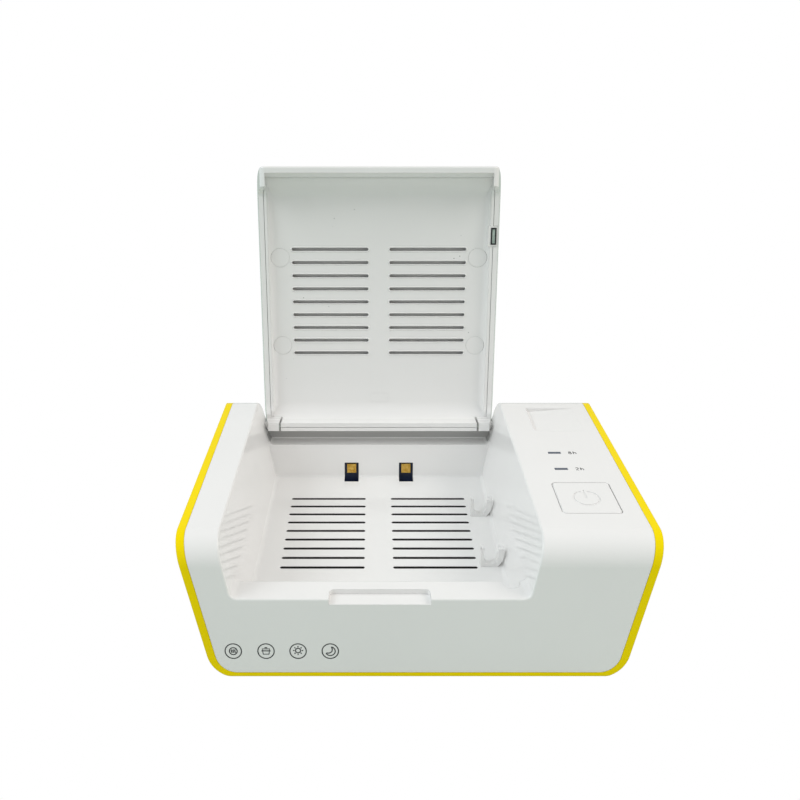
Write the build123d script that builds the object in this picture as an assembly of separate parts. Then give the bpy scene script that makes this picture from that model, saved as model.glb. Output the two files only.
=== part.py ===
from build123d import *
import math
import os

# Hearing aid dryer, lid open. Millimetres. X right, Y back, Z up; the front is at -Y.
# The origin lies on the standing plane, under the middle of the housing.

# ---- outer form ----
foot_height = 0.5
deck_z = 43.2
deck_width = 142.0
side_lean_deg = 13.0
front_top_y = -45.45
front_lean_deg = 10.7
rear_y = 53.45
front_top_radius = 9.2
rear_top_radius = 6.4
bottom_side_radius = 9.0
bottom_edge_radius = 0.6

# ---- base shell ----
shell_side = 2.4
shell_floor = 1.6
seam_gap = 0.1
foot_diameter = 10.0
foot_recess = 0.8
foot_fit = 0.1
foot_edge = 0.2
foot_from_side = 27.0
foot_y = 46.0

# ---- channel for the lid and chamber below it ----
channel_x = -11.3
channel_half_top = 47.3
channel_slope = 0.205
sill_z = 25.8
sill_corner_radius = 2.6
channel_edge_radius = 0.6
chamber_floor_z = 13.2
chamber_corner_radius = 1.5
chamber_end_radius = 1.0
chamber_front_y = -40.5
chamber_back_low_y = 42.9
chamber_back_high_y = 46.3
wall = 2.0
side_liner = 1.4
deck_plate = 2.2
floor_plate = 1.6
chamber_wall = 1.7
inner_wall = 2.0

finger_left, finger_right = 15.1, 14.8
finger_back_y = -44.2
finger_z = 24.1
finger_corner_radius = 1.6
relief_from_wall = 1.85
relief_y = -41.2
relief_radius = 2.6
relief_depth = 6.0
relief_wall = 1.8

# ---- floor slots, counted from the channel's middle and the floor's sides ----
slot_rows = 9
slot_first_y = 26.1
slot_pitch = 5.36
slot_width = 1.3
slot_from_left, slot_inner_left = 7.85, 5.0
slot_inner_right, slot_from_right = 4.5, 8.4

# ---- tool clips on the chamber floor ----
clip_from_wall = 4.2
clip_y = 15.2
clip_thickness = 2.4
clip_height = 7.3
clip_base = 0.8
clip_cradle_radius = 2.25
clip_leaf = 1.0
clip_arm = 1.9
clip_arm_height = 6.9
clip_peg_diameter = 2.0
clip_peg_fit = 0.05
clip_lift = 0.02

# ---- lamp windows in the rear chamber wall ----
window_width = 5.6
window_left, window_right = 10.85, 10.9
window_floor_y = 39.0
window_low_z = 11.0
window_high_z = 18.7
lamp_size = 3.6
lamp_height = 1.3
lamp_dome_radius = 1.3
lamp_dome_depth = 0.4
lamp_low_z = 14.6
lamp_board_thickness = 1.0
lamp_board_width = 36.0
lamp_board_high_z = 21.8
lamp_board_below = 4.4
lamp_board_fit = 0.02
rail_width = 2.6
rail_behind = 1.2

# ---- right deck; shares run from its inner wall (0) to its outer wall (1) ----
button_share, button_y = 0.5423, -21.05
button_wide, button_deep = 18.1, 17.9
button_corner_radius = 1.2
button_edge_radius = 0.4
button_proud = 0.15
button_gap = 0.25
button_flange = 0.7
button_flange_height = 0.8
button_play = 0.1
button_wall = 1.65
button_plate = 1.5
button_post = 5.0
symbol_radius = 4.0
symbol_line = 0.5
symbol_stroke = 4.6
symbol_gap = 2.0
symbol_depth = 0.2
symbol_back = 0.55
lamp_bar_share, lamp_bar_length = 0.4029, 4.3
lamp_bar_y = (8.0, -3.15)
lamp_bar_width = 1.3
lamp_bar_fit = 0.05
lamp_bar_flange = 0.6
lamp_bar_flange_height = 0.9
tray_share_left, tray_share_right = 0.2669, 0.8935
tray_y0, tray_y1 = 24.5, 43.4
tray_depth = 1.3
tray_wall_run = 1.2
tray_corner_radius = 2.0

# ---- lid, modelled closed and then turned open ----
axis_y, axis_z = 50.4, 32.8
open_deg = 100.0
lid_side_gap = 0.6
lid_lip_gap = 0.15
lid_rear_y = 51.5
lid_rear_radius = 8.5
lid_edge_radius = 0.7
skirt_low_z = 27.4
cover_plate = 1.4
lip_thickness = 2.4
lip_seam_z = 34.2
rim_width = 1.8
rim_depth = 7.0
liner_back = 2.8
liner_face = 4.2
liner_rear_back = 1.6
liner_rear_face = 3.2
liner_fit = 0.15
liner_side_skin = 1.0
liner_side_radius = 2.6
liner_front_radius = 8.3
liner_rear_inner_radius = 5.4
slit_from_side = 8.2
slit_width = 0.8
slit_high_z = 34.6
ear_top = 0.8
ear_seam = 0.12
ear_radius = 2.3
hinge_relief_gap = 0.35
hinge_relief_z = 36.4
hinge_relief_deep = 2.0
pin_diameter = 2.6
pin_clearance = 0.05
pin_reach = 47.0
pin_end_gap = 0.3
pin_boss_diameter = 7.0
pin_boss_wall = 1.3
stop_from_slit = 1.0
stop_front_y = 51.9
stop_z = 31.22
stop_side_z = 30.2
stop_corner_radius = 0.6
lid_slot_first = 27.9
lid_slot_pitch = 5.075
lid_slot_near = 4.1
lid_slot_from_side = 13.1
lid_slot_width = 1.2
cap_diameter = 7.1
cap_thickness = 0.35
cap_fit = 0.05
cap_from_side = 8.6
cap_rows = (30.9, 65.3)
cap_pad = 1.0
lid_boss_diameter = 5.0
lid_pad_diameter = 9.0
magnet_row = 73.6
magnet_from_side = 5.2
magnet_block_wide, magnet_block_long = 3.4, 7.6
magnet_block_fit = 0.1
magnet_off_centre = 0.3
magnet_frame_wide, magnet_frame_long = 2.1, 6.3
magnet_core_wide, magnet_core_long = 1.0, 5.2
magnet_depth = 1.4
magnet_back = 0.3
magnet_frame_proud = 0.15
magnet_sunk = 0.05

# ---- control board under the right deck ----
board_thickness = 1.2
control_z = 35.0
control_from_inner, control_from_outer = 3.28, 1.2
control_y0, control_y1 = -35.3, 13.0
board_post_diameter = 4.0
board_screw_depth = 3.0
switch_side = 6.0
switch_height = 3.3
switch_bore_depth = 2.0
plunger_diameter = 3.4
plunger_depth = 1.4
plunger_fit = 0.05
indicator_size = (1.6, 0.8, 0.8)
guide_above_led = 0.3
sensor_diameter = 1.8
sensor_length = 9.0
sensor_y = -23.1
chip_side = 6.0
chip_height = 1.2
chip_y = -2.5
connector_wide, connector_long, connector_high = 3.2, 7.2, 4.0
link_y = 8.4
link_thick, link_wide = 1.0, 6.4

# ---- main board and power inlet ----
main_wide = 11.2
main_y0, main_y1 = 4.0, 50.2
main_z = 8.0
main_screw_y = (16.0, 33.0)
inlet_wide, inlet_deep, inlet_high = 9.0, 13.0, 10.6
inlet_bore = 6.3
inlet_bore_depth = 10.0
inlet_pin = 2.0
inlet_pin_back = 1.0
inlet_hole = 7.4
inlet_fit = 0.1
driver_size = (5.0, 6.0, 1.6)
driver_y = 24.0
capacitor_diameter, capacitor_height = 5.0, 8.0
capacitor_y = 24.4
coil_size = (2.8, 3.0, 2.2)
coil_y = 29.9

# ---- heater ----
heater_left, heater_right = 6.45, 7.35
heater_y0, heater_y1 = -21.0, 30.5
heater_z = 7.0
heater_plate_thickness = 1.0
heater_screw_inset = 4.0
ptc_half, ptc_y, ptc_deep, ptc_high = 18.0, 4.7, 8.0, 2.6
fuse_length, fuse_diameter, fuse_y = 10.0, 2.4, 16.0
sensor_rod_length, sensor_rod_diameter, sensor_rod_y = 4.5, 2.0, -8.0
lead_diameter, lead_bend = 1.2, 1.8
lead_apart = 2.2
thin_lead_diameter, thin_lead_bend = 0.9, 1.2
lead_z = 14.5
lead_y = 49.0

# ---- screws and their bosses ----
screw_shank = 3.0
screw_head = 5.6
screw_head_height = 2.0
screw_fit = 0.05
screw_slot = 0.6
screw_free = 0.3
screw_tip_gap = 0.4
small_shank = 2.0
small_head = 3.8
small_head_height = 0.7
screw_from_floor_side = 4.15
low_screw_y = (-34.0, 36.0)
deck_screw_share, deck_screw_front_y = 0.4287, -39.0
deck_screw_from_board, deck_screw_rear_y = 4.4, 36.0
deck_screw_tip_z = 20.0
cup_top_z = 5.4
cup_wall = 2.2
cup_plate = 2.0
boss_diameter = 7.0
board_boss_diameter = 5.0
root = 0.4
beyond = 1.0
far = 60.0
wide = 90.0


def tan(deg):
    return math.tan(math.radians(deg))


shell_z = foot_height
floor_z = shell_z + shell_floor
lid_lip_z = sill_z + lid_lip_gap
lean = tan(front_lean_deg)
side_slope = tan(side_lean_deg)
deck_under_z = deck_z - deck_plate
floor_under_z = chamber_floor_z - floor_plate
sill_under_z = sill_z - wall
board_top_z = control_z + board_thickness
main_top_z = main_z + board_thickness


def half_channel(z):
    return channel_half_top - channel_slope * (deck_z - z)


def half_body(z):
    return deck_width / 2 - side_slope * (deck_z - z)


def front_at(z):
    return front_top_y - lean * (deck_z - z)


def inner_side_x(z):
    """The face of the right channel wall that looks into the right deck."""
    return channel_x + half_channel(z) + inner_wall


def outer_side_x(z):
    """The inner face of the housing's right side."""
    return half_body(z) - shell_side - seam_gap - side_liner


def deck_x(share):
    left = inner_side_x(deck_under_z)
    return left + share * (outer_side_x(deck_under_z) - left)


# ---- places that follow from the sizes above ----
floor_half = half_channel(chamber_floor_z)
floor_right_x = channel_x + floor_half
lid_half = channel_half_top - lid_side_gap
slot_left = (channel_x - floor_half + slot_from_left, channel_x - slot_inner_left)
slot_right = (channel_x + slot_inner_right, floor_right_x - slot_from_right)
window_x = (channel_x - window_left, channel_x + window_right)
button_x = deck_x(button_share)
lamp_bar_x = deck_x(lamp_bar_share)
lamp_bar_x0, lamp_bar_x1 = lamp_bar_x - lamp_bar_length / 2, lamp_bar_x + lamp_bar_length / 2
tray_x0, tray_x1 = deck_x(tray_share_left), deck_x(tray_share_right)
control_x0 = inner_side_x(control_z) + control_from_inner
control_x1 = outer_side_x(control_z) - control_from_outer
link_x = control_x0 + 4.0
main_x1 = link_x + 2.4
main_x0 = main_x1 - main_wide
inlet_x = main_x0 + 5.4
slit_x = lid_half - slit_from_side
heater_x0 = channel_x - floor_half + heater_left
heater_x1 = floor_right_x - heater_right
foot_x = deck_width / 2 - foot_from_side
low_screw_x = (channel_x - floor_half + screw_from_floor_side, floor_right_x - screw_from_floor_side)
housing_screws_low = [(x, y) for y in low_screw_y for x in low_screw_x]
housing_screws_deck = [
    (deck_x(deck_screw_share), deck_screw_front_y),
    (main_x1 + deck_screw_from_board, deck_screw_rear_y),
]
board_screws_at = [
    (control_x0 + 2.0, control_y0 + 2.1),
    (control_x1 - 6.0, control_y0 + 2.1),
    (control_x0 + 2.6, control_y1 - 12.0),
    (control_x1 - 2.2, control_y1 - 2.2),
]
main_screws_at = [(main_x0 + 5.6, y) for y in main_screw_y]
heater_screws_at = [
    (x, y)
    for y in (heater_y0 + heater_screw_inset, heater_y1 - heater_screw_inset)
    for x in (heater_x0 + heater_screw_inset, heater_x1 - heater_screw_inset)
]


# ---- helpers ----
def block(x0, x1, y0, y1, z0, z1):
    middle = Pos((x0 + x1) / 2, (y0 + y1) / 2, (z0 + z1) / 2)
    return middle * Box(x1 - x0, y1 - y0, z1 - z0)


def standing(x, y, z, size):
    """A box of the given size standing on z, its middle over x and y."""
    length, depth, height = size
    return Pos(x, y, z + height / 2) * Box(length, depth, height)


def post(x, y, z0, z1, diameter):
    return Pos(x, y, (z0 + z1) / 2) * Cylinder(diameter / 2, z1 - z0)


def rod_x(x0, x1, y, z, diameter):
    return Pos((x0 + x1) / 2, y, z) * Rot(0, 90, 0) * Cylinder(diameter / 2, abs(x1 - x0))


def rod_y(y0, y1, x, z, diameter):
    return Pos(x, (y0 + y1) / 2, z) * Rot(90, 0, 0) * Cylinder(diameter / 2, y1 - y0)


def outline(corners):
    """A face through (u, v, radius) corners."""
    face = make_face(Polyline(*[(u, v) for u, v, r in corners], close=True))
    for u, v, r in corners:
        if r:
            corner = face.vertices().sort_by_distance((u, v, 0))[0]
            face = fillet(corner, r)
    return face


def along_y(face, y0, y1):
    """Extrudes a face drawn in X and Z from y0 to y1."""
    plane = Plane((0, y1, 0), x_dir=(1, 0, 0), z_dir=(0, -1, 0))
    return extrude(plane * face, y1 - y0)


def along_x(face, x0, x1):
    """Extrudes a face drawn in Y and Z from x0 to x1."""
    plane = Plane((x0, 0, 0), x_dir=(0, 1, 0), z_dir=(1, 0, 0))
    return extrude(plane * face, x1 - x0)


def rounded_bar(x0, x1, y, z0, z1, width):
    """An upright slot or bar with round ends, long in X."""
    bar = Pos((x0 + x1) / 2, y) * SlotOverall(x1 - x0, width)
    return Pos(0, 0, z0) * extrude(bar, z1 - z0)


def screw(x, y, z_head, z_tip, shank, head, head_height, up=True):
    """A pan-head screw whose head bears at z_head and whose tip is at z_tip."""
    away = -head_height if up else head_height
    low, high = sorted((z_head, z_head + away))
    shaft_low, shaft_high = sorted((z_head, z_tip))
    body = post(x, y, low, high, head) + post(x, y, shaft_low, shaft_high, shank)
    cut = head_height * 0.4
    cut_low = low if up else high - cut
    arm = head * 0.6
    cross = standing(x, y, cut_low, (arm, screw_slot, cut)) + standing(x, y, cut_low, (screw_slot, arm, cut))
    return body - cross


def lies_on(point, solid):
    return Vertex(*point).distance_to(solid.shell()) < 0.01


def both_sides(offset):
    return [channel_x + side * offset for side in (-1, 1)]


# ---- outer body: two crossed prisms ----
section_side = outline([
    (front_at(shell_z), shell_z, bottom_edge_radius),
    (front_top_y, deck_z, front_top_radius),
    (rear_y, deck_z, rear_top_radius),
    (rear_y, shell_z, bottom_edge_radius),
])
above_deck = deck_z + 5.0


def front_section(side, low):
    """The front section drawn inwards by side in X, with its floor at low."""
    corner = bottom_side_radius - side
    return outline([
        (side - half_body(low), low, corner),
        (side - half_body(above_deck), above_deck, 0),
        (half_body(above_deck) - side, above_deck, 0),
        (half_body(low) - side, low, corner),
    ])


body = along_y(front_section(0, shell_z), -wide, wide) & along_x(section_side, -wide, wide)
base_shell = body - along_y(front_section(shell_side, floor_z), -wide, wide)
insert = along_y(front_section(shell_side + seam_gap, floor_z + seam_gap), -wide, wide)
housing = body & insert


def channel_section(low, radius, spread=0.0):
    """The saddle between the decks, its bottom at low."""
    half_low = half_channel(low) + spread
    half_high = half_channel(above_deck) + spread
    return outline([
        (channel_x - half_low, low, radius),
        (channel_x - half_high, above_deck, 0),
        (channel_x + half_high, above_deck, 0),
        (channel_x + half_low, low, radius),
    ])


channel = along_y(channel_section(sill_z, sill_corner_radius), -wide, wide)
housing -= channel
rim_edges = [e for e in housing.edges() if lies_on(e @ 0.5, channel) and lies_on(e @ 0.5, body)]
housing = housing.solid().fillet(channel_edge_radius, rim_edges)

# ---- chamber, and the space under the skin ----
back_slope = (chamber_back_high_y - chamber_back_low_y) / (sill_z - chamber_floor_z)
back_lean_deg = math.degrees(math.atan(back_slope))
cos_back = math.cos(math.radians(back_lean_deg))


def chamber_side(low, grow):
    """The side section of the chamber, grown outwards, from its floor at low up."""
    back = chamber_back_low_y + grow / cos_back
    return outline([
        (chamber_front_y - grow, low, chamber_end_radius),
        (chamber_front_y - grow, far, 0),
        (back + back_slope * (far - chamber_floor_z), far, 0),
        (back + back_slope * (low - chamber_floor_z), low, chamber_end_radius),
    ])


chamber = along_y(channel_section(chamber_floor_z, chamber_corner_radius), -wide, wide)
chamber &= along_x(chamber_side(chamber_floor_z, 0), -wide, wide)
housing -= chamber


def skin_section(low):
    """The front section under the skin, with the saddle's underside at low."""
    def saddle(z):
        return half_channel(z) + inner_wall

    high = deck_under_z + 3.0
    deep = -2.0
    return outline([
        (-outer_side_x(deep), deep, 0),
        (-outer_side_x(high), high, 0),
        (channel_x - saddle(high), high, 0),
        (channel_x - saddle(low), low, inner_wall),
        (channel_x + saddle(low), low, inner_wall),
        (channel_x + saddle(high), high, 0),
        (outer_side_x(high), high, 0),
        (outer_side_x(deep), deep, 0),
    ])


face_wall = wall / math.cos(math.radians(front_lean_deg))
skin_side = outline([
    (front_at(0) + face_wall, 0, 0),
    (front_at(deck_under_z) + face_wall, deck_under_z, front_top_radius - wall),
    (rear_y - wall, deck_under_z, rear_top_radius - wall),
    (rear_y - wall, 0, 0),
])
tub = along_y(channel_section(floor_under_z, inner_wall, spread=inner_wall), -wide, wide)
tub &= along_x(chamber_side(floor_under_z, chamber_wall), -wide, wide)
cavity = along_y(skin_section(sill_under_z), -wide, wide) & along_x(skin_side, -wide, wide)
housing -= cavity - tub

# thicker stock under the finger notch and behind the round relief
finger_x0, finger_x1 = channel_x - finger_left, channel_x + finger_right
housing += block(finger_x0 - wall, finger_x1 + wall, front_at(sill_under_z) + wall / 2,
                 chamber_front_y - wall / 2, finger_z - wall, sill_under_z + root)
relief_x = floor_right_x - relief_from_wall
relief_low_z = sill_z - relief_depth
relief_reach = relief_radius + relief_wall
housing += block(relief_x - relief_reach, relief_x + relief_reach, relief_y - relief_reach,
                 chamber_front_y - wall / 2, relief_low_z - wall * 0.75, sill_under_z + root)
finger_notch = block(finger_x0, finger_x1, -far, finger_back_y, finger_z, far)
notch_corners = finger_notch.edges().filter_by(Axis.Z).group_by(Axis.Y)[-1]
housing -= finger_notch.solid().fillet(finger_corner_radius, notch_corners)
housing -= post(relief_x, relief_y, relief_low_z, far, 2 * relief_radius)

# low rear wall: the lid's open stop, lower beside the lid's ears
stop_half = slit_x - stop_from_slit
stop_root = half_channel(stop_side_z) + inner_wall / 2
stop_wall = along_y(outline([
    (channel_x - stop_root, sill_under_z, 0),
    (channel_x - stop_root, stop_side_z, 0),
    (channel_x - stop_half, stop_side_z, 0),
    (channel_x - stop_half, stop_z, stop_corner_radius),
    (channel_x + stop_half, stop_z, stop_corner_radius),
    (channel_x + stop_half, stop_side_z, 0),
    (channel_x + stop_root, stop_side_z, 0),
    (channel_x + stop_root, sill_under_z, 0),
]), stop_front_y, rear_y)
housing += stop_wall

# floor slots
for row in range(slot_rows):
    y = slot_first_y - slot_pitch * row
    for x0, x1 in (slot_left, slot_right):
        housing -= rounded_bar(x0, x1, y, floor_under_z - beyond, chamber_floor_z + beyond, slot_width)

# lamp windows cut through the floor's edge, and rails for the lamp board behind them
for x in window_x:
    housing -= block(x - window_width / 2, x + window_width / 2, window_floor_y,
                     chamber_back_high_y + chamber_wall, window_low_z, window_high_z)

back_normal = (0, math.cos(math.radians(back_lean_deg)), -math.sin(math.radians(back_lean_deg)))
back_plane = Plane((0, chamber_back_low_y, chamber_floor_z), x_dir=(-1, 0, 0), z_dir=back_normal)


def on_back(x, up0, up1, depth0, depth1, width):
    """A box against the rear chamber wall: up it, and depth behind its face."""
    middle = Pos(-x, (up0 + up1) / 2, (depth0 + depth1) / 2)
    return back_plane * middle * Box(width, up1 - up0, depth1 - depth0)


lamp_board_x = sum(window_x) / 2
board_high = (lamp_board_high_z - chamber_floor_z) / cos_back
board_front = chamber_wall + lamp_board_fit
board_back = board_front + lamp_board_thickness
lamp_board = on_back(lamp_board_x, -lamp_board_below, board_high, board_front, board_back,
                     lamp_board_width)
for side in (-1, 1):
    rail_x = lamp_board_x + side * (lamp_board_width / 2 + 0.3)
    housing += on_back(rail_x, 0, board_high, chamber_wall - 0.3, board_back + rail_behind, rail_width)
groove = on_back(lamp_board_x, -lamp_board_below * 2, board_high * 2, chamber_wall,
                 board_back + 0.05, lamp_board_width + 0.1)
housing -= groove & (cavity - tub)
lamps = []
for x in window_x:
    low = (lamp_low_z - chamber_floor_z) / cos_back
    lamp = on_back(x, low, low + lamp_size, board_front - lamp_height, board_front, lamp_size)
    centre = back_plane * Pos(-x, low + lamp_size / 2, board_front - lamp_height)
    lamps.append(lamp - centre * Cylinder(lamp_dome_radius, 2 * lamp_dome_depth))

# hinge cheeks
pin_hole_reach = pin_reach + pin_end_gap
for side in (-1, 1):
    cheek = rod_x(channel_x + side * half_channel(axis_z - 4),
                  channel_x + side * (pin_hole_reach + pin_boss_wall), axis_y, axis_z, pin_boss_diameter)
    housing += (cheek & body & insert) - channel
    housing -= rod_x(channel_x + side * (half_channel(axis_z) - 2), channel_x + side * pin_hole_reach,
                     axis_y, axis_z, pin_diameter + 2 * pin_clearance)

# openings in the right deck
button_hole = Pos(button_x, button_y) * RectangleRounded(
    button_wide + 2 * button_gap, button_deep + 2 * button_gap, button_corner_radius + button_gap)
housing -= Pos(0, 0, deck_under_z - beyond) * extrude(button_hole, deck_plate + 2 * beyond)
for y in lamp_bar_y:
    housing -= block(lamp_bar_x0 - lamp_bar_fit, lamp_bar_x1 + lamp_bar_fit,
                     y - lamp_bar_width / 2 - lamp_bar_fit, y + lamp_bar_width / 2 + lamp_bar_fit,
                     deck_under_z - beyond, deck_z + beyond)

# wedge-shaped tray: deepest at its left side, running out to the deck at its right
tray_wedge = along_y(outline([
    (tray_x0, deck_z + beyond, 0),
    (tray_x0, deck_z, 0),
    (tray_x0 + tray_wall_run, deck_z - tray_depth, 0),
    (tray_x1, deck_z, 0),
    (tray_x1, deck_z + beyond, 0),
]), tray_y0, tray_y1)
tray_column = block(tray_x0, tray_x1, tray_y0, tray_y1, deck_under_z, deck_z + 2 * beyond)
near_corner = tray_column.edges().filter_by(Axis.Z).sort_by_distance((tray_x0, tray_y0, deck_z))[0]
housing -= tray_wedge & tray_column.solid().fillet(tray_corner_radius, [near_corner])

# bosses, board posts and their holes
for x, y in board_screws_at:
    housing += post(x, y, board_top_z, deck_under_z + root, board_post_diameter)
    housing -= post(x, y, board_top_z - beyond, board_top_z + board_screw_depth + 0.2,
                    small_shank + 2 * screw_fit)
boss_low_z = cup_top_z + seam_gap
for x, y in housing_screws_low:
    housing += post(x, y, boss_low_z, floor_under_z + root, boss_diameter)
    housing -= post(x, y, boss_low_z - beyond, floor_under_z - screw_tip_gap, screw_shank + 2 * screw_fit)
for x, y in housing_screws_deck:
    housing += post(x, y, boss_low_z, deck_under_z + root, boss_diameter)
    housing -= post(x, y, boss_low_z - beyond, deck_screw_tip_z + screw_tip_gap,
                    screw_shank + 2 * screw_fit)
clip_x = floor_right_x - clip_from_wall
for side in (-1, 1):
    housing -= post(clip_x, side * clip_y, floor_under_z - beyond, chamber_floor_z + beyond,
                    clip_peg_diameter + 2 * clip_peg_fit)
inlet_z = main_top_z + inlet_high / 2
housing -= rod_y(rear_y - wall - beyond, rear_y + beyond, inlet_x, inlet_z, inlet_hole)

# ---- base shell details ----
for x, y in housing_screws_low + housing_screws_deck:
    base_shell += post(x, y, floor_z - root, cup_top_z, screw_head + 2 * cup_wall)
    base_shell -= post(x, y, shell_z - beyond, cup_top_z - cup_plate, screw_head + 2 * screw_free)
    base_shell -= post(x, y, shell_z - beyond, cup_top_z + beyond, screw_shank + screw_free)
small_depth = 3.2
for x, y in main_screws_at:
    base_shell += post(x, y, floor_z - root, main_z, board_boss_diameter)
    base_shell -= post(x, y, main_z - small_depth - 0.2, main_z + beyond, small_shank + 2 * screw_fit)
for x, y in heater_screws_at:
    base_shell += post(x, y, floor_z - root, heater_z, board_boss_diameter)
    base_shell -= post(x, y, heater_z - small_depth - 0.2, heater_z + beyond, small_shank + 2 * screw_fit)
feet = []
foot_top_z = shell_z + foot_recess
for x in (-foot_x, foot_x):
    for y in (-foot_y, foot_y):
        base_shell -= post(x, y, 0, foot_top_z, foot_diameter + 2 * foot_fit)
        foot = post(x, y, 0, foot_top_z, foot_diameter)
        bottom = foot.edges().filter_by(GeomType.CIRCLE).group_by(Axis.Z)[0]
        feet.append(foot.solid().fillet(foot_edge, bottom))

housing_screws = []
bearing_z = cup_top_z - cup_plate
for x, y in housing_screws_low:
    tip_z = floor_under_z - 2 * screw_tip_gap
    housing_screws.append(screw(x, y, bearing_z, tip_z, screw_shank, screw_head, screw_head_height))
for x, y in housing_screws_deck:
    housing_screws.append(screw(x, y, bearing_z, deck_screw_tip_z, screw_shank, screw_head,
                                screw_head_height))


# ---- tool clips: a leaf, a round cradle and a curved arm on a peg ----
def clip(y):
    def at(dx, dz):
        return clip_x + dx, chamber_floor_z + dz

    r = clip_cradle_radius
    centre = clip_base + r
    low = clip_lift
    side = r + clip_arm
    profile = make_face([
        Line(at(-r - clip_leaf, low), at(-r - clip_leaf, clip_height)),
        Line(at(-r - clip_leaf, clip_height), at(-r, clip_height)),
        Line(at(-r, clip_height), at(-r, centre)),
        ThreePointArc(at(-r, centre), at(0, clip_base), at(r, centre)),
        Line(at(r, centre), at(r + 0.3, clip_arm_height)),
        Line(at(r + 0.3, clip_arm_height), at(side + 0.1, clip_arm_height)),
        ThreePointArc(at(side + 0.1, clip_arm_height), at(side + 0.15, clip_arm_height * 0.55),
                      at(r + clip_leaf * 0.3, low)),
        Line(at(r + clip_leaf * 0.3, low), at(-r - clip_leaf, low)),
    ])
    upright = along_y(profile, y - clip_thickness / 2, y + clip_thickness / 2)
    return upright + post(clip_x, y, floor_under_z, chamber_floor_z + clip_base / 2, clip_peg_diameter)


clips = [clip(-clip_y), clip(clip_y)]


# ---- lid, drawn closed ----
def lid_side(front, top, rear, front_radius, rear_radius):
    """The lid's side section drawn inwards, left open downwards."""
    rise = front / math.cos(math.radians(front_lean_deg))
    high = deck_z - top
    deep = -20.0
    return along_x(outline([
        (front_at(deep) + rise, deep, 0),
        (front_at(high) + rise, high, front_radius),
        (lid_rear_y - rear, high, rear_radius),
        (lid_rear_y - rear, deep, 0),
    ]), -wide, wide)


def lid_prism(shrink, low=0.0, low_radius=0.0, high=far, high_radius=0.0):
    """The lid's front section drawn inwards by shrink at its sides."""
    def half(z):
        return half_channel(z) - lid_side_gap - shrink

    return along_y(outline([
        (channel_x - half(low), low, low_radius),
        (channel_x - half(high), high, high_radius),
        (channel_x + half(high), high, high_radius),
        (channel_x + half(low), low, low_radius),
    ]), -wide, wide)


full = lid_side(0, 0, 0, front_top_radius, lid_rear_radius)
under_cover = lid_side(cover_plate, cover_plate, cover_plate, front_top_radius - cover_plate,
                       lid_rear_radius - cover_plate)
under_lip = lid_side(lip_thickness, cover_plate, cover_plate, front_top_radius - lip_thickness,
                     lid_rear_radius - cover_plate)
under_rim = lid_side(rim_depth, rim_depth, liner_rear_face, front_top_radius - rim_depth,
                     liner_rear_inner_radius)
liner_outer = lid_side(liner_fit + cover_plate, liner_back, liner_rear_back, liner_front_radius + 0.8,
                       liner_rear_inner_radius + cover_plate)
liner_inner = lid_side(lip_thickness, liner_face, liner_rear_face, liner_front_radius,
                       liner_rear_inner_radius)

front_part = block(-wide, wide, -wide, 0, lid_lip_z, far) & lid_prism(0, lid_lip_z, sill_corner_radius)
rear_part = block(-wide, wide, 0, wide, skirt_low_z, far)
outer_sides = lid_prism(0)
cover = full - under_cover
cover += (full - under_lip) & block(-wide, wide, -wide, 0, 0, lip_seam_z)
cover += (full - under_rim) - lid_prism(rim_width)
cover = cover & (front_part + rear_part) & outer_sides
cover_edges = [e for e in cover.edges()
               if lies_on(e @ 0.5, full) and (lies_on(e @ 0.5, outer_sides) or lies_on(e @ 0.5, front_part))]
cover = cover.solid().fillet(lid_edge_radius, cover_edges)

ear_x = slit_x + slit_width
ear_top_z = slit_high_z + ear_top
ear_stock = (full - liner_inner) & outer_sides
for side in (-1, 1):
    def beside(x0, x1, y0, y1, z0, z1):
        return block(*sorted((channel_x + side * x0, channel_x + side * x1)), y0, y1, z0, z1)

    cover -= beside(slit_x, far, axis_y - 7, far, 0, slit_high_z)
    cover += ear_stock & beside(ear_x, far, axis_y - 7, far, skirt_low_z, ear_top_z)
    cover -= beside(half_channel(stop_z) - hinge_relief_gap, far, axis_y - hinge_relief_deep, far, 0,
                    hinge_relief_z)
    cover += rod_x(channel_x + side * ear_x, channel_x + side * (half_channel(stop_z) - hinge_relief_gap),
                   axis_y, axis_z, 2 * ear_radius)
    cover += rod_x(channel_x + side * (ear_x + 1), channel_x + side * pin_reach, axis_y, axis_z,
                   pin_diameter)

dish = lid_prism(rim_width + liner_fit + liner_side_skin, 0, 0, deck_z - liner_face, liner_side_radius)
liner = (liner_outer & lid_prism(rim_width + liner_fit)) - (liner_inner & dish) - under_rim
liner &= block(-wide, wide, -wide, 0, lip_seam_z + liner_fit, far) + rear_part
for side in (-1, 1):
    cut_x0, cut_x1 = sorted((channel_x + side * slit_x, channel_x + side * far))
    liner -= block(cut_x0, cut_x1, axis_y - 7.5, far, 0, ear_top_z + ear_seam)
slot_far = lid_half - lid_slot_from_side
for row in range(slot_rows):
    y = axis_y - lid_slot_first - lid_slot_pitch * row
    for x0, x1 in ((-slot_far, -lid_slot_near), (lid_slot_near, slot_far)):
        liner -= rounded_bar(channel_x + x0, channel_x + x1, y, deck_z - liner_face - beyond,
                             deck_z - liner_back + beyond / 2, lid_slot_width)

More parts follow.
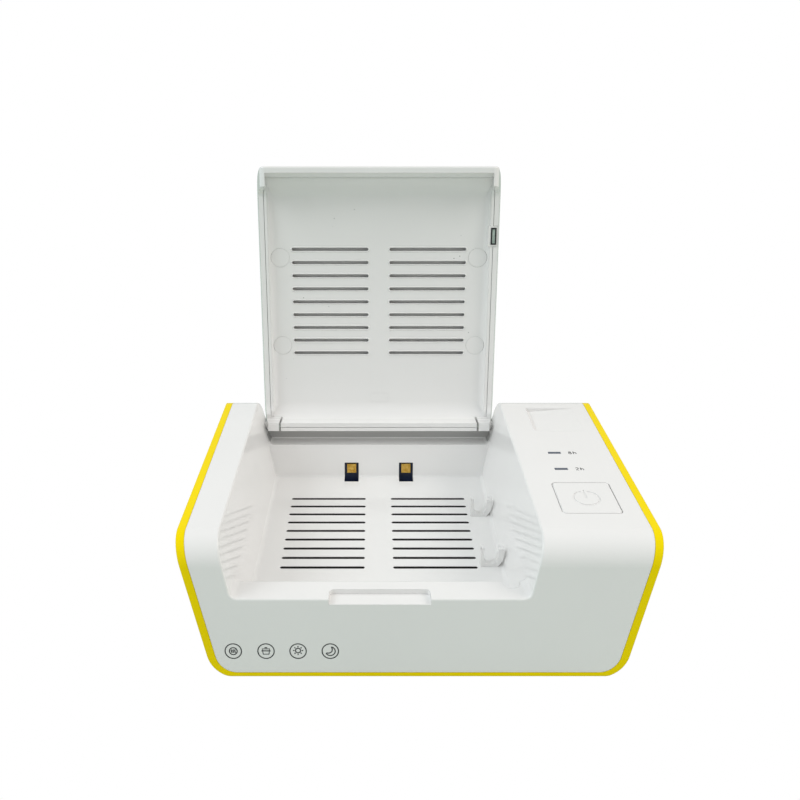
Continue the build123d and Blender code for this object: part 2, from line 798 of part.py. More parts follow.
seat_z = deck_z - liner_face + cap_pad
pad_z = deck_z - liner_back + root
lid_screws = []
caps = []
for row in cap_rows:
    for x in both_sides(lid_half - cap_from_side):
        y = axis_y - row
        cover += post(x, y, pad_z, deck_z - cover_plate + screw_free, lid_boss_diameter)
        cover -= post(x, y, pad_z - beyond, deck_z - cover_plate / 2, small_shank + 2 * screw_fit)
        liner += post(x, y, deck_z - liner_back - seam_gap, pad_z - 0.02, lid_pad_diameter)
        liner -= post(x, y, seat_z - 3, seat_z, cap_diameter + 2 * cap_fit)
        liner -= post(x, y, seat_z - beyond, deck_z, small_shank + screw_free)
        lid_screws.append(screw(x, y, seat_z, deck_z - cover_plate / 2 - 0.1, small_shank, small_head, 0.6))
        caps.append(post(x, y, deck_z - liner_face, deck_z - liner_face + cap_thickness, cap_diameter))

# magnet block on the right rim
magnet_y = axis_y - magnet_row
block_x0 = channel_x + lid_half - magnet_from_side
block_x1 = block_x0 + magnet_block_wide
face_z = deck_z - rim_depth - 0.3
magnet_x = (block_x0 + block_x1) / 2 + magnet_off_centre


def about_magnet(x0, x1, long, z0, z1):
    return block(x0, x1, magnet_y - long / 2, magnet_y + long / 2, z0, z1)


cover -= about_magnet(block_x0 - 2, block_x1 + magnet_block_fit, magnet_block_long + 2 * magnet_block_fit,
                      face_z - beyond, deck_z - liner_back + 0.2)
liner += about_magnet(block_x0, block_x1, magnet_block_long, face_z, deck_z - liner_back)
frame_outer = about_magnet(magnet_x - magnet_frame_wide / 2, magnet_x + magnet_frame_wide / 2,
                           magnet_frame_long, face_z - magnet_frame_proud, face_z + magnet_depth)
core_pocket = about_magnet(magnet_x - magnet_core_wide / 2, magnet_x + magnet_core_wide / 2,
                           magnet_core_long, face_z - beyond, face_z + magnet_depth - magnet_back)
liner -= frame_outer
magnet_frame = frame_outer - core_pocket
lid_magnet = core_pocket & block(-wide, wide, -wide, wide, face_z - magnet_sunk, far)


def open_lid(shape):
    turn = Pos(0, axis_y, axis_z) * Rot(-open_deg, 0, 0) * Pos(0, -axis_y, -axis_z)
    return turn * shape


# ---- power button and its switch ----
flange_low_z = deck_under_z - button_play - button_flange_height
button_top_z = deck_z + button_proud
button_face = Pos(button_x, button_y) * RectangleRounded(button_wide, button_deep, button_corner_radius)
button = Pos(0, 0, flange_low_z) * extrude(button_face, button_top_z - flange_low_z)
top_edges = button.edges().group_by(Axis.Z)[-1]
button = button.solid().fillet(button_edge_radius, top_edges)
flange_face = Pos(button_x, button_y) * RectangleRounded(
    button_wide + 2 * button_flange, button_deep + 2 * button_flange, button_corner_radius)
button += Pos(0, 0, flange_low_z) * extrude(flange_face, button_flange_height)
hollow = (button_wide - 2 * button_wall, button_deep - 2 * button_wall,
          deck_z - button_plate - flange_low_z + 1)
button -= standing(button_x, button_y, flange_low_z - 1, hollow)
button += post(button_x, button_y, flange_low_z, deck_z - button_plate + screw_free, button_post)
symbol_y = button_y - symbol_back
ring = Circle(symbol_radius + symbol_line / 2) - Circle(symbol_radius - symbol_line / 2)
symbol = Pos(button_x, symbol_y) * ring
symbol -= Pos(button_x, symbol_y + symbol_radius) * Rectangle(symbol_gap, symbol_radius)
symbol += Pos(button_x, symbol_y + symbol_stroke / 2) * Rectangle(symbol_line, symbol_stroke)
button -= Pos(0, 0, button_top_z - symbol_depth) * extrude(symbol, beyond)

switch_top_z = board_top_z + switch_height
tact_switch = standing(button_x, button_y, board_top_z, (switch_side, switch_side, switch_height))
tact_switch -= post(button_x, button_y, switch_top_z - switch_bore_depth, switch_top_z + beyond,
                    plunger_diameter + 2 * plunger_fit)
plunger = post(button_x, button_y, switch_top_z - plunger_depth, flange_low_z, plunger_diameter)

# ---- lamp bars and indicators ----
light_guides = []
indicators = []
guide_low_z = board_top_z + indicator_size[2] + guide_above_led
for y in lamp_bar_y:
    bar = block(lamp_bar_x0, lamp_bar_x1, y - lamp_bar_width / 2, y + lamp_bar_width / 2, guide_low_z,
                deck_z)
    flange_size = (lamp_bar_length + 2 * lamp_bar_flange, lamp_bar_width + 2 * lamp_bar_flange,
                   lamp_bar_flange_height)
    bar += standing(lamp_bar_x, y, deck_under_z - lamp_bar_flange_height, flange_size)
    light_guides.append(bar)
    indicators.append(standing(lamp_bar_x, y, board_top_z, indicator_size))

# ---- boards ----
control_board = block(control_x0, control_x1, control_y0, control_y1, control_z, board_top_z)
control_screws = []
for x, y in board_screws_at:
    control_board -= post(x, y, control_z - beyond, board_top_z + beyond, small_shank + screw_free)
    control_screws.append(screw(x, y, control_z, board_top_z + board_screw_depth, small_shank, small_head,
                                small_head_height))
lid_sensor = rod_y(sensor_y - sensor_length / 2, sensor_y + sensor_length / 2, control_x0 + 1.7,
                   board_top_z + sensor_diameter / 2, sensor_diameter)

main_board = block(main_x0, main_x1, main_y0, main_y1, main_z, main_top_z)
main_screws = []
for x, y in main_screws_at:
    main_board -= post(x, y, main_z - beyond, main_top_z + beyond, small_shank + screw_free)
    main_screws.append(screw(x, y, main_top_z, main_z - small_depth, small_shank, small_head,
                             small_head_height, up=False))
board_parts = [
    standing(main_x0 + 4.1, driver_y, main_top_z, driver_size),
    post(main_x1 - 2.8, capacitor_y, main_top_z, main_top_z + capacitor_height, capacitor_diameter),
    standing(main_x1 - 2.0, coil_y, main_top_z, coil_size),
    standing(button_x + 1.7, chip_y, board_top_z, (chip_side, chip_side, chip_height)),
]
connector = (connector_wide, connector_long, connector_high)
connectors = [
    standing(link_x, link_y, main_top_z, connector),
    standing(link_x, link_y, control_z - connector_high, connector),
]
link_low_z = main_top_z + connector_high
link_high_z = control_z - connector_high
link_cable = standing(link_x, link_y, link_low_z, (link_thick, link_wide, link_high_z - link_low_z))

inlet_rear_y = rear_y - wall - inlet_fit
inlet = block(inlet_x - inlet_wide / 2, inlet_x + inlet_wide / 2, inlet_rear_y - inlet_deep, inlet_rear_y,
              main_top_z, main_top_z + inlet_high)
inlet += rod_y(inlet_rear_y - beyond, rear_y - inlet_fit, inlet_x, inlet_z, inlet_hole - 2 * inlet_fit)
inlet -= rod_y(rear_y - inlet_bore_depth, rear_y + beyond, inlet_x, inlet_z, inlet_bore)
inlet += rod_y(rear_y - inlet_bore_depth - root, rear_y - inlet_pin_back, inlet_x, inlet_z, inlet_pin)

# ---- heater under the slotted floor ----
heater_top_z = heater_z + heater_plate_thickness
heater_plate = block(heater_x0, heater_x1, heater_y0, heater_y1, heater_z, heater_top_z)
heater_screws = []
for x, y in heater_screws_at:
    heater_plate -= post(x, y, heater_z - beyond, heater_top_z + beyond, small_shank + screw_free)
    heater_screws.append(screw(x, y, heater_top_z, heater_z - small_depth, small_shank,
                               small_head, small_head_height, up=False))
ptc_low_z = heater_z - ptc_high
ptc_heater = standing(channel_x, ptc_y, ptc_low_z, (2 * ptc_half, ptc_deep, ptc_high))
thermal_fuse = rod_x(channel_x - fuse_length / 2, channel_x + fuse_length / 2, fuse_y,
                     heater_z - fuse_diameter / 2, fuse_diameter)
thermistor = rod_x(channel_x - sensor_rod_length / 2, channel_x + sensor_rod_length / 2, sensor_rod_y,
                   heater_z - sensor_rod_diameter / 2, sensor_rod_diameter)


def wire(points, radius, diameter):
    path = FilletPolyline(*points, radius=radius)
    return sweep(Plane(path @ 0, z_dir=path % 0) * Circle(diameter / 2), path=path)


ptc_x1 = channel_x + ptc_half
ptc_middle_z = heater_z - ptc_high / 2
lead_end_x = main_x0 + 2.2
heater_leads = []
for y in (ptc_y + 0.7, ptc_y + 0.7 + lead_apart):
    heater_leads.append(wire([(ptc_x1, y, ptc_middle_z), (lead_end_x, y, ptc_middle_z),
                              (lead_end_x, y, main_z)], lead_bend, lead_diameter))
board_rear_y = chamber_back_low_y + back_slope * (lead_z - chamber_floor_z) + board_back / cos_back
thin_start = (lamp_board_x + 12.0, board_rear_y + 0.15, lead_z)
thin_end_x = main_x0 + thin_lead_diameter / 2
lamp_leads = [
    wire([thin_start, (thin_start[0], lead_y, lead_z), (thin_end_x, lead_y, lead_z),
          (thin_end_x, lead_y, main_top_z)], thin_lead_bend, thin_lead_diameter),
]

# ---- each named piece in a file of its own ----
pieces = {
    "base_shell": [base_shell],
    "upper_housing": [housing],
    "rubber_feet": feet,
    "housing_screws": housing_screws,
    "rest_clips": clips,
    "lid_cover": [open_lid(cover)],
    "lid_liner": [open_lid(liner)],
    "lid_screws": [open_lid(s) for s in lid_screws],
    "screw_caps": [open_lid(s) for s in caps],
    "magnet_frame": [open_lid(magnet_frame)],
    "lid_magnet": [open_lid(lid_magnet)],
    "power_button": [button],
    "switch_plunger": [plunger],
    "tact_switch": [tact_switch],
    "light_guides": light_guides,
    "indicator_leds": indicators,
    "control_board": [control_board],
    "control_screws": control_screws,
    "lid_sensor": [lid_sensor],
    "main_board": [main_board],
    "main_screws": main_screws,
    "board_parts": board_parts,
    "connectors": connectors,
    "link_cable": [link_cable],
    "power_inlet": [inlet],
    "heater_plate": [heater_plate],
    "heater_screws": heater_screws,
    "ptc_heater": [ptc_heater],
    "thermal_fuse": [thermal_fuse],
    "thermistor": [thermistor],
    "heater_leads": heater_leads,
    "lamp_board": [lamp_board],
    "uv_lamps": lamps,
    "lamp_leads": lamp_leads,
}
os.makedirs("parts", exist_ok=True)
for name, shapes in pieces.items():
    solids = [solid for shape in shapes for solid in shape.solids()]
    export_step(Compound(label=name, children=solids), f"parts/{name}.step")
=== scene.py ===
import math
import bmesh
import bpy
from mathutils import Matrix, Vector


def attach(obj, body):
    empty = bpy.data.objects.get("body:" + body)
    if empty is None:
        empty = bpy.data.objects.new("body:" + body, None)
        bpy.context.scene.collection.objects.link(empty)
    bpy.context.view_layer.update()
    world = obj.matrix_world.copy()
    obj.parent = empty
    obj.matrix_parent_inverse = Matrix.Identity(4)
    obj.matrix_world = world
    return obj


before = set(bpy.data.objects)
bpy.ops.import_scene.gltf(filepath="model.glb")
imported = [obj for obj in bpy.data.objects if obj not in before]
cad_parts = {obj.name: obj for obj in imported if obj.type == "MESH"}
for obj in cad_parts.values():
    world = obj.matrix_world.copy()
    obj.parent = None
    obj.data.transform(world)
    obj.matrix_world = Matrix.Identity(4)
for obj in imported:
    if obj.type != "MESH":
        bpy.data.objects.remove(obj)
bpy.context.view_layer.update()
scene = bpy.context.scene
MM = 0.001

# ---- sizes of the object that the details sit on, in millimetres ----
DECK_Z = 43.2
FRONT_TOP_Y = -45.45
FRONT_LEAN = math.radians(10.7)
CHANNEL_X = -11.3
AXIS_Y, AXIS_Z = 50.4, 32.8
LID_OPEN = math.radians(-100)
LINER_FACE = 4.2
LID_SLOT_FIRST, LID_SLOT_PITCH, LID_SLOT_ROWS = 27.9, 5.075, 9
LID_SLOT_NEAR, LID_SLOT_FAR, LID_SLOT_WIDTH = 4.1, 33.6, 1.2

# ---- sizes of the details that only the looks have, in millimetres ----
PRINT_DEPTH = 0.03
SIGN_DOWN = 34.05
SIGN_XS = {"warm": -54.9, "cell": -45.2, "lamp": -35.7, "moon": -26.15}
SIGN_RADIUS = 2.42
SIGN_STROKE = 0.34
MARK_X = 54.1
MARK_YS = {"8h": 8.0, "2h": -3.15}
MARK_SIZE = 1.75
MARK_STROKE = 0.3
# a slot rim's section: distance out from the slot's edge and height over the liner
RIM_SECTION = [(0.0, -0.2), (0.0, 0.1), (0.12, 0.2), (0.34, 0.2), (0.46, 0.1), (0.5, -0.02)]
MOULD_X0, MOULD_X1 = -3.1, 3.7
MOULD_S0, MOULD_S1 = 7.8, 11.3
MOULD_STROKE, MOULD_DEPTH = 0.2, 0.12

# ---- values that every surface shares; lengths in metres ----
PLASTIC_IOR = 1.49
TONE_DETAIL = 3.0
GRAIN_SCALE = 600.0
GRAIN_DEPTH = 0.0002
UNEVEN_SCALE = 90.0
COAT_ROUGHNESS = 0.04
EDGE_SAMPLES = 4
SPECK_PATCH_SCALE = 45.0


# ---- shader helpers ----
def new_material(name):
    m = bpy.data.materials.new(name)
    m.use_nodes = True
    m.node_tree.nodes.clear()
    return m, m.node_tree.nodes, m.node_tree.links


def noise(nodes, links, coord, scale, detail=2.0, rough=0.5):
    n = nodes.new("ShaderNodeTexNoise")
    n.inputs["Scale"].default_value = scale
    n.inputs["Detail"].default_value = detail
    n.inputs["Roughness"].default_value = rough
    links.new(coord, n.inputs["Vector"])
    return n.outputs["Fac"]


def ramp(nodes, links, source, stops):
    r = nodes.new("ShaderNodeValToRGB")
    while len(r.color_ramp.elements) < len(stops):
        r.color_ramp.elements.new(0.5)
    for e, (at, colour) in zip(r.color_ramp.elements, stops):
        e.position = at
        e.color = (*colour, 1.0)
    links.new(source, r.inputs["Fac"])
    return r.outputs["Color"]


def spread(nodes, links, source, low, high, from_low=0.3, from_high=0.7):
    m = nodes.new("ShaderNodeMapRange")
    m.inputs["From Min"].default_value = from_low
    m.inputs["From Max"].default_value = from_high
    m.inputs["To Min"].default_value = low
    m.inputs["To Max"].default_value = high
    links.new(source, m.inputs["Value"])
    return m.outputs["Result"]


def within(nodes, links, coord, box):
    """1 inside a box of the model's own space, given as (middle, half) per axis in metres, else 0."""
    axes = nodes.new("ShaderNodeSeparateXYZ")
    links.new(coord, axes.inputs[0])
    mask = None
    for axis, (middle, half_size) in zip("XYZ", box):
        near = nodes.new("ShaderNodeMath")
        near.operation = "COMPARE"
        links.new(axes.outputs[axis], near.inputs[0])
        near.inputs[1].default_value = middle
        near.inputs[2].default_value = half_size
        if mask is None:
            mask = near.outputs[0]
            continue
        both = nodes.new("ShaderNodeMath")
        both.operation = "MULTIPLY"
        links.new(mask, both.inputs[0])
        links.new(near.outputs[0], both.inputs[1])
        mask = both.outputs[0]
    return mask


def mixed(nodes, links, mask, colour, other):
    mix = nodes.new("ShaderNodeMix")
    mix.data_type = "RGBA"
    links.new(mask, mix.inputs["Factor"])
    links.new(colour, mix.inputs["A"])
    mix.inputs["B"].default_value = (*other, 1.0)
    return mix.outputs["Result"]


def surface(name, tones, rough, metallic=0.0, edge=0.0, bump=0.02, tone_scale=22.0, specks=None,
            coat=0.0, shine=0.5, painted_shade=()):
    """Two close tones, uneven roughness and fine bumps.

    edge is the radius that softens edges, specks is (colour, scale), painted_shade is (box, colour) pairs of
    painted shade, darker tones painted where shade falls.
    """
    m, nodes, links = new_material(name)
    out = nodes.new("ShaderNodeOutputMaterial")
    bsdf = nodes.new("ShaderNodeBsdfPrincipled")
    links.new(bsdf.outputs[0], out.inputs[0])
    coord = nodes.new("ShaderNodeTexCoord").outputs["Object"]
    tone = noise(nodes, links, coord, tone_scale, TONE_DETAIL)
    colour = ramp(nodes, links, tone, [(0.35, tones[0]), (0.65, tones[1])])
    if specks:
        cells = nodes.new("ShaderNodeTexVoronoi")
        cells.inputs["Scale"].default_value = specks[1]
        links.new(coord, cells.inputs["Vector"])
        mask = spread(nodes, links, cells.outputs["Distance"], 1.0, 0.0, 0.03, 0.07)
        patch = spread(nodes, links, noise(nodes, links, coord, SPECK_PATCH_SCALE), 0.0, 1.0, 0.56, 0.62)
        both = nodes.new("ShaderNodeMath")
        both.operation = "MULTIPLY"
        links.new(mask, both.inputs[0])
        links.new(patch, both.inputs[1])
        colour = mixed(nodes, links, both.outputs[0], colour, specks[0])
    # painted shade: the darker tone is mixed into the colour inside each box
    for box, shade in painted_shade:
        colour = mixed(nodes, links, within(nodes, links, coord, box), colour, shade)
    links.new(colour, bsdf.inputs["Base Color"])
    uneven = noise(nodes, links, coord, UNEVEN_SCALE, 4.0, 0.6)
    links.new(spread(nodes, links, uneven, rough * 0.85, rough * 1.2), bsdf.inputs["Roughness"])
    bsdf.inputs["Metallic"].default_value = metallic
    bsdf.inputs["IOR"].default_value = PLASTIC_IOR
    bsdf.inputs["Specular IOR Level"].default_value = shine
    if coat:
        bsdf.inputs["Coat Weight"].default_value = coat
        bsdf.inputs["Coat Roughness"].default_value = COAT_ROUGHNESS
    b = nodes.new("ShaderNodeBump")
    b.inputs["Strength"].default_value = bump
    b.inputs["Distance"].default_value = GRAIN_DEPTH
    links.new(noise(nodes, links, coord, GRAIN_SCALE, TONE_DETAIL), b.inputs["Height"])
    if edge:
        bevel = nodes.new("ShaderNodeBevel")
        bevel.samples = EDGE_SAMPLES
        bevel.inputs["Radius"].default_value = edge
        links.new(bevel.outputs[0], b.inputs["Normal"])
    links.new(b.outputs[0], bsdf.inputs["Normal"])
    return m


# ---- materials of the CAD nodes ----
WHITE = ((0.885, 0.88, 0.87), (0.9, 0.895, 0.885))
GREY_SPECKS = ((0.35, 0.36, 0.35), 260.0)
# painted shade inside the floor slots and in the gap under the lid, darker tones where little light gets in:
# a box as within() takes it, then the tone
# painted shade: the walls of the floor slots painted near black
SLOT_WALL_SHADE = (((-0.0115, 0.0345), (0.0046, 0.0235), (0.0123, 0.00075)), (0.06, 0.055, 0.055))
# painted shade: a grey band on the housing in the gap under the lid's back edge
HINGE_GAP_SHADE = (((-0.0113, 0.0445), (0.05, 0.0022), (0.0292, 0.0028)), (0.5, 0.5, 0.49))
white = surface("white_plastic", WHITE, 0.09, edge=0.0002, bump=0.01, painted_shade=(SLOT_WALL_SHADE, HINGE_GAP_SHADE))
white_lid = surface("white_lid_inside", WHITE, 0.16, edge=0.0002, specks=GREY_SPECKS)
white_button = surface("white_button", WHITE, 0.2, edge=0.00015)
yellow = surface("yellow_plastic", ((0.96, 0.74, 0.0), (0.985, 0.77, 0.0)), 0.2, edge=0.0003, shine=0.1)
rubber = surface("black_rubber", ((0.02, 0.02, 0.02), (0.035, 0.035, 0.035)), 0.7, bump=0.15)
steel = surface("screw_steel", ((0.5, 0.5, 0.5), (0.6, 0.6, 0.61)), 0.3, metallic=1.0, bump=0.05)
magnet_steel = surface("magnet_nickel", ((0.35, 0.45, 0.4), (0.55, 0.66, 0.6)), 0.3, metallic=0.6, bump=0.1,
                       tone_scale=900.0)
black = surface("black_plastic", ((0.012, 0.012, 0.014), (0.022, 0.022, 0.024)), 0.35, bump=0.06)
smoke = surface("smoked_lens", ((0.09, 0.11, 0.15), (0.12, 0.14, 0.18)), 0.15, coat=0.3)
cream = surface("cream_plastic", ((0.78, 0.77, 0.7), (0.83, 0.82, 0.76)), 0.4)
green = surface("green_board", ((0.015, 0.12, 0.05), (0.025, 0.17, 0.07)), 0.35, tone_scale=150.0)
navy = surface("navy_board", ((0.006, 0.014, 0.05), (0.012, 0.025, 0.08)), 0.35, tone_scale=300.0)
gold = surface("gold_pad", ((0.62, 0.36, 0.06), (0.85, 0.56, 0.14)), 0.28, metallic=0.9, tone_scale=700.0)
plate = surface("black_anodised", ((0.02, 0.02, 0.022), (0.035, 0.035, 0.037)), 0.4, metallic=0.3)
heater = surface("heater_block", ((0.25, 0.24, 0.22), (0.34, 0.33, 0.3)), 0.5)
red_wire = surface("red_wire", ((0.45, 0.02, 0.015), (0.55, 0.03, 0.02)), 0.45)
white_wire = surface("white_wire", ((0.7, 0.7, 0.68), (0.76, 0.76, 0.74)), 0.45)
sensor = surface("sensor_glass", ((0.45, 0.5, 0.46), (0.6, 0.64, 0.6)), 0.1)
ink = surface("dark_ink", ((0.03, 0.032, 0.035), (0.05, 0.05, 0.055)), 0.5)

paint = {
    "upper_housing": white, "lid_cover": white, "lid_liner": white_lid, "power_button": white_button,
    "rest_clips": white, "screw_caps": white_lid, "base_shell": yellow, "rubber_feet": rubber,
    "housing_screws": steel, "control_screws": steel, "main_screws": steel, "heater_screws": steel,
    "lid_screws": steel, "lid_magnet": magnet_steel, "switch_plunger": black, "tact_switch": black,
    "board_parts": black, "power_inlet": black, "magnet_frame": black, "light_guides": smoke,
    "indicator_leds": cream, "connectors": cream, "control_board": green, "main_board": green,
    "lamp_board": navy, "uv_lamps": gold, "lid_sensor": sensor, "heater_leads": red_wire,
    "link_cable": white_wire, "lamp_leads": white_wire, "heater_plate": plate, "ptc_heater": heater,
    "thermal_fuse": heater, "thermistor": heater,
}
for node, material in paint.items():
    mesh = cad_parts[node].data
    mesh.materials.clear()
    mesh.materials.append(material)


# ---- mesh helpers ----
def piece(name, verts, faces, material, body, smooth=False):
    mesh = bpy.data.meshes.new(name)
    mesh.from_pydata([tuple(v) for v in verts], [], faces)
    bm = bmesh.new()
    bm.from_mesh(mesh)
    bmesh.ops.recalc_face_normals(bm, faces=bm.faces)
    bm.to_mesh(mesh)
    bm.free()
    for p in mesh.polygons:
        p.use_smooth = smooth
    mesh.materials.append(material)
    obj = bpy.data.objects.new(name, mesh)
    scene.collection.objects.link(obj)
    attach(obj, body)
    return obj


def strip(path, width, closed=False):
    """Left and right edges of a flat stroke along a 2-D path."""
    n = len(path)
    left, right = [], []
    for i, (x, y) in enumerate(path):
        a = path[(i - 1) % n] if closed or i else path[i]
        b = path[(i + 1) % n] if closed or i < n - 1 else path[i]
        dx, dy = b[0] - a[0], b[1] - a[1]
        length = math.hypot(dx, dy) or 1.0
        ox, oy = -dy / length * width / 2, dx / length * width / 2
        left.append((x + ox, y + oy))
        right.append((x - ox, y - oy))
    return left, right


def strokes(paths, width, place, depth=PRINT_DEPTH):
    """Verts and faces of thin raised strokes; place turns (u, v, height) in mm into a point in metres."""
    verts, faces = [], []
    for path, closed in paths:
        left, right = strip(path, width, closed)
        n = len(path)
        base = len(verts)
        for u, v in left + right:
            verts.append(place(u, v, depth / 2))
        for u, v in left + right:
            verts.append(place(u, v, -depth / 2))
        last = n if closed else n - 1
        for i in range(last):
            j = (i + 1) % n
            faces.append((base + i, base + j, base + n + j, base + n + i))
            faces.append((base + i, base + j, base + 2 * n + j, base + 2 * n + i))
            faces.append((base + n + i, base + n + j, base + 3 * n + j, base + 3 * n + i))
    return verts, faces


def circle(x, y, r, n=40, start=0.0, stop=2 * math.pi):
    whole = abs(stop - start - 2 * math.pi) < 1e-6
    steps = n if whole else n + 1
    angles = [start + (stop - start) * i / n for i in range(steps)]
    return [(x + r * math.cos(a), y + r * math.sin(a)) for a in angles]


def on_front(u, v, h):
    """u across and v up the leaning front face from deck level, h out of it."""
    y = FRONT_TOP_Y + v * math.sin(FRONT_LEAN) - h * math.cos(FRONT_LEAN)
    z = DECK_Z + v * math.cos(FRONT_LEAN) + h * math.sin(FRONT_LEAN)
    return Vector((u, y, z)) * MM


def on_deck(u, v, h):
    return Vector((u, v, DECK_Z + h)) * MM


turn_lid = (Matrix.Translation(Vector((0, AXIS_Y, AXIS_Z))) @ Matrix.Rotation(LID_OPEN, 4, "X")
            @ Matrix.Translation(Vector((0, -AXIS_Y, -AXIS_Z))))


def on_liner(u, s, h):
    """u across from the lid's middle, s along it from the hinge axis, h out of the liner's face."""
    closed = Vector((CHANNEL_X + u, AXIS_Y - s, DECK_Z - LINER_FACE - h))
    return (turn_lid @ closed) * MM


# ---- prints on the front face: four ringed signs ----
SIGN_V = -SIGN_DOWN / math.cos(FRONT_LEAN)


def warm_sign(x, y):
    """A ring round three rising waves."""
    paths = [(circle(x, y, 1.15, 30), True)]
    for k in (-0.5, 0.0, 0.5):
        wave = [(x + k + 0.12 * math.sin(t * 1.57), y - 0.55 + t * 0.22) for t in range(6)]
        paths.append((wave, False))
    return paths


def cell_sign(x, y):
    """A cup with a bar across it and a short lid line."""
    cup = [(x - 1.1, y + 0.75), (x + 1.1, y + 0.75), (x + 0.85, y - 1.0), (x - 0.85, y - 1.0)]
    bar = [(x - 1.35, y + 0.1), (x + 1.35, y + 0.1)]
    top = [(x - 0.4, y + 1.15), (x + 0.4, y + 1.15)]
    return [(cup, True), (bar, False), (top, False)]


def lamp_sign(x, y):
    """A small ring with eight rays."""
    middle_y = y + 0.2
    paths = [(circle(x, middle_y, 0.75, 24), True)]
    for k in range(8):
        a = k * math.pi / 4
        ray = [(x + r * math.cos(a), middle_y + r * math.sin(a)) for r in (1.05, 1.5)]
        paths.append((ray, False))
    return paths


def moon_sign(x, y):
    """A crescent between two arcs."""
    outer = circle(x, y, 1.45, 28, math.radians(-150), math.radians(75))
    inner = circle(x - 0.55, y + 0.5, 1.15, 24, math.radians(40), math.radians(-115))
    return [(outer + inner[1:-1], True)]


for kind, draw in {"warm": warm_sign, "cell": cell_sign, "lamp": lamp_sign, "moon": moon_sign}.items():
    x = SIGN_XS[kind]
    ring = (circle(x, SIGN_V, SIGN_RADIUS, 48), True)
    v, f = strokes([ring] + draw(x, SIGN_V), SIGN_STROKE, on_front)
    piece("print_" + kind, v, f, ink, "housing")


# ---- hour marks beside the lamp bars ----
def glyph(text, x, y, size):
    """Strokes of plain figures; x is the left edge, y the middle."""
    paths = []
    for ch in text:
        w = size * 0.55
        if ch == "8":
            paths.append((circle(x + w / 2, y + size * 0.23, size * 0.2, 16), True))
            paths.append((circle(x + w / 2, y - size * 0.23, size * 0.25, 16), True))
        elif ch == "2":
            top = circle(x + w / 2, y + size * 0.22, size * 0.24, 12, math.radians(170), math.radians(-35))
            paths.append((top + [(x, y - size * 0.46), (x + w, y - size * 0.46)], False))
        elif ch == "h":
            paths.append(([(x, y + size * 0.46), (x, y - size * 0.46)], False))
            arch = circle(x + w * 0.45, y - size * 0.12, w * 0.42, 10, math.radians(180), math.radians(0))
            paths.append((arch + [(x + w * 0.87, y - size * 0.46)], False))
        x += size * 0.95
    return paths


for text, y in MARK_YS.items():
    v, f = strokes(glyph(text, MARK_X, y, MARK_SIZE), MARK_STROKE, on_deck)
    piece("mark_" + text, v, f, ink, "housing")


# ---- moulded rims round the lid's slots ----
def stadium(x0, x1, y, r, n=8):
    right = circle(x1 - r, y, r, n, -math.pi / 2, math.pi / 2)
    left = circle(x0 + r, y, r, n, math.pi / 2, 3 * math.pi / 2)
    return right + left


def rim(verts, faces, path_of, section):
    """A band round a slot: path_of(offset) gives the loop at that offset, section is (offset, height)."""
    loops = []
    for offset, height in section:
        loop = path_of(offset)
        base = len(verts)
        verts.extend(on_liner(u, s, height) for u, s in loop)
        loops.append((base, len(loop)))
    for (a, n), (b, _) in zip(loops, loops[1:]):
        for i in range(n):
            j = (i + 1) % n
            faces.append((a + i, a + j, b + j, b + i))


verts, faces = [], []
for row in range(LID_SLOT_ROWS):
    s = LID_SLOT_FIRST + LID_SLOT_PITCH * row
    for x0, x1 in ((-LID_SLOT_FAR, -LID_SLOT_NEAR), (LID_SLOT_NEAR, LID_SLOT_FAR)):
        def loop_at(offset, x0=x0, x1=x1, s=s):
            r = LID_SLOT_WIDTH / 2 + offset
            return stadium(x0 - offset, x1 + offset, s, r)
        rim(verts, faces, loop_at, RIM_SECTION)
piece("slot_rims", verts, faces, white_lid, "lid", smooth=True)

# ---- a small moulded frame low on the lid's inside ----
mould_path = [(MOULD_X0, MOULD_S0), (MOULD_X1, MOULD_S0), (MOULD_X1, MOULD_S1), (MOULD_X0, MOULD_S1)]
v, f = strokes([(mould_path, True)], MOULD_STROKE, on_liner, MOULD_DEPTH)
piece("mould_mark", v, f, white_lid, "lid")


# ---- floor and surroundings, in metres ----
FLOOR_HALF = 1.6
FLOOR_TONE = (0.44, 0.53, 0.47)
WORLD_STRENGTH = 0.6
# the world's tint from the left side to the right
SIDE_TINTS = [(0.0, (0.9, 0.965, 1.0)), (0.5, (0.965, 0.985, 0.965)), (1.0, (1.0, 0.955, 0.93))]
SIDE_REACH = 0.7


def white_to_camera(name, colour):
    """A matt colour for the light, plain white where the camera looks at it directly."""
    m, nodes, links = new_material(name)
    out = nodes.new("ShaderNodeOutputMaterial")
    mix = nodes.new("ShaderNodeMixShader")
    path = nodes.new("ShaderNodeLightPath")
    matt = nodes.new("ShaderNodeBsdfDiffuse")
    matt.inputs["Color"].default_value = (*colour, 1.0)
    glow = nodes.new("ShaderNodeEmission")
    glow.inputs["Color"].default_value = (1.0, 1.0, 1.0, 1.0)
    links.new(path.outputs["Is Camera Ray"], mix.inputs[0])
    links.new(matt.outputs[0], mix.inputs[1])
    links.new(glow.outputs[0], mix.inputs[2])
    links.new(mix.outputs[0], out.inputs[0])
    return m


floor_corners = [(FLOOR_HALF * x, FLOOR_HALF * y, 0) for x, y in ((-1, -1), (1, -1), (1, 1), (-1, 1))]
floor_mesh = bpy.data.meshes.new("floor")
floor_mesh.from_pydata(floor_corners, [], [(0, 1, 2, 3)])
floor = bpy.data.objects.new("floor", floor_mesh)
floor_mesh.materials.append(white_to_camera("pale_floor", FLOOR_TONE))
scene.collection.objects.link(floor)

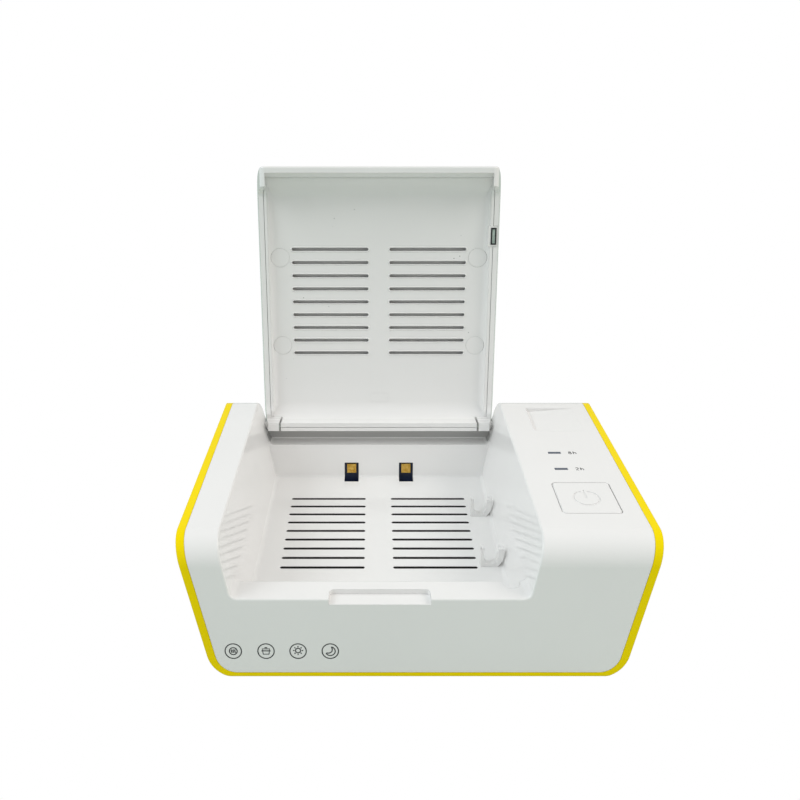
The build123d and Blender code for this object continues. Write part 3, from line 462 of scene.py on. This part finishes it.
world = bpy.data.worlds.new("studio")
scene.world = world
world.use_nodes = True
wn, wl = world.node_tree.nodes, world.node_tree.links
wn.clear()
wout = wn.new("ShaderNodeOutputWorld")
wmix = wn.new("ShaderNodeMixShader")
wpath = wn.new("ShaderNodeLightPath")
seen = wn.new("ShaderNodeBackground")
seen.inputs["Color"].default_value = (1.0, 1.0, 1.0, 1.0)
seen.inputs["Strength"].default_value = 1.0
lit = wn.new("ShaderNodeBackground")
lit.inputs["Strength"].default_value = WORLD_STRENGTH
direction = wn.new("ShaderNodeSeparateXYZ")
wl.new(wn.new("ShaderNodeTexCoord").outputs["Generated"], direction.inputs[0])
side = spread(wn, wl, direction.outputs["X"], 0.0, 1.0, -SIDE_REACH, SIDE_REACH)
wl.new(ramp(wn, wl, side, SIDE_TINTS), lit.inputs["Color"])
wl.new(wpath.outputs["Is Camera Ray"], wmix.inputs[0])
wl.new(lit.outputs[0], wmix.inputs[1])
wl.new(seen.outputs[0], wmix.inputs[2])
wl.new(wmix.outputs[0], wout.inputs[0])


# ---- two large soft lights, high at the left and the right ----
LIGHT_X, LIGHT_Y, LIGHT_Z = 0.8, -0.1, 0.75
LIGHT_WIDE, LIGHT_HIGH = 0.9, 0.6
LIGHT_AIM = (0, 0, 0.02)


def soft_light(name, location, power, colour):
    data = bpy.data.lights.new(name, "AREA")
    data.shape = "RECTANGLE"
    data.size, data.size_y = LIGHT_WIDE, LIGHT_HIGH
    data.energy = power
    data.color = colour
    light = bpy.data.objects.new(name, data)
    light.location = location
    aim = Vector(LIGHT_AIM) - Vector(location)
    light.rotation_euler = aim.to_track_quat("-Z", "Y").to_euler()
    scene.collection.objects.link(light)


soft_light("left", (-LIGHT_X, LIGHT_Y, LIGHT_Z), 4.4, (0.95, 0.985, 1.0))
soft_light("right", (LIGHT_X, LIGHT_Y, LIGHT_Z), 4.2, (1.0, 0.965, 0.925))

# ---- camera, matched to the photo's view ----
CAMERA_AT = (-0.0132, -0.2353, 0.1768)
CAMERA_TILT = math.radians(65.0)
LENS = 36.0
SENSOR = 36.0
LENS_SHIFT = 0.0325

camera_data = bpy.data.cameras.new("camera")
camera_data.lens = LENS
camera_data.sensor_width = SENSOR
camera_data.sensor_fit = "HORIZONTAL"
camera_data.shift_x = LENS_SHIFT
camera_data.clip_start = 0.01
camera_data.clip_end = 20.0
camera = bpy.data.objects.new("camera", camera_data)
camera.location = CAMERA_AT
camera.rotation_euler = (CAMERA_TILT, 0.0, 0.0)
scene.collection.objects.link(camera)
scene.camera = camera

scene.view_settings.view_transform = "Standard"
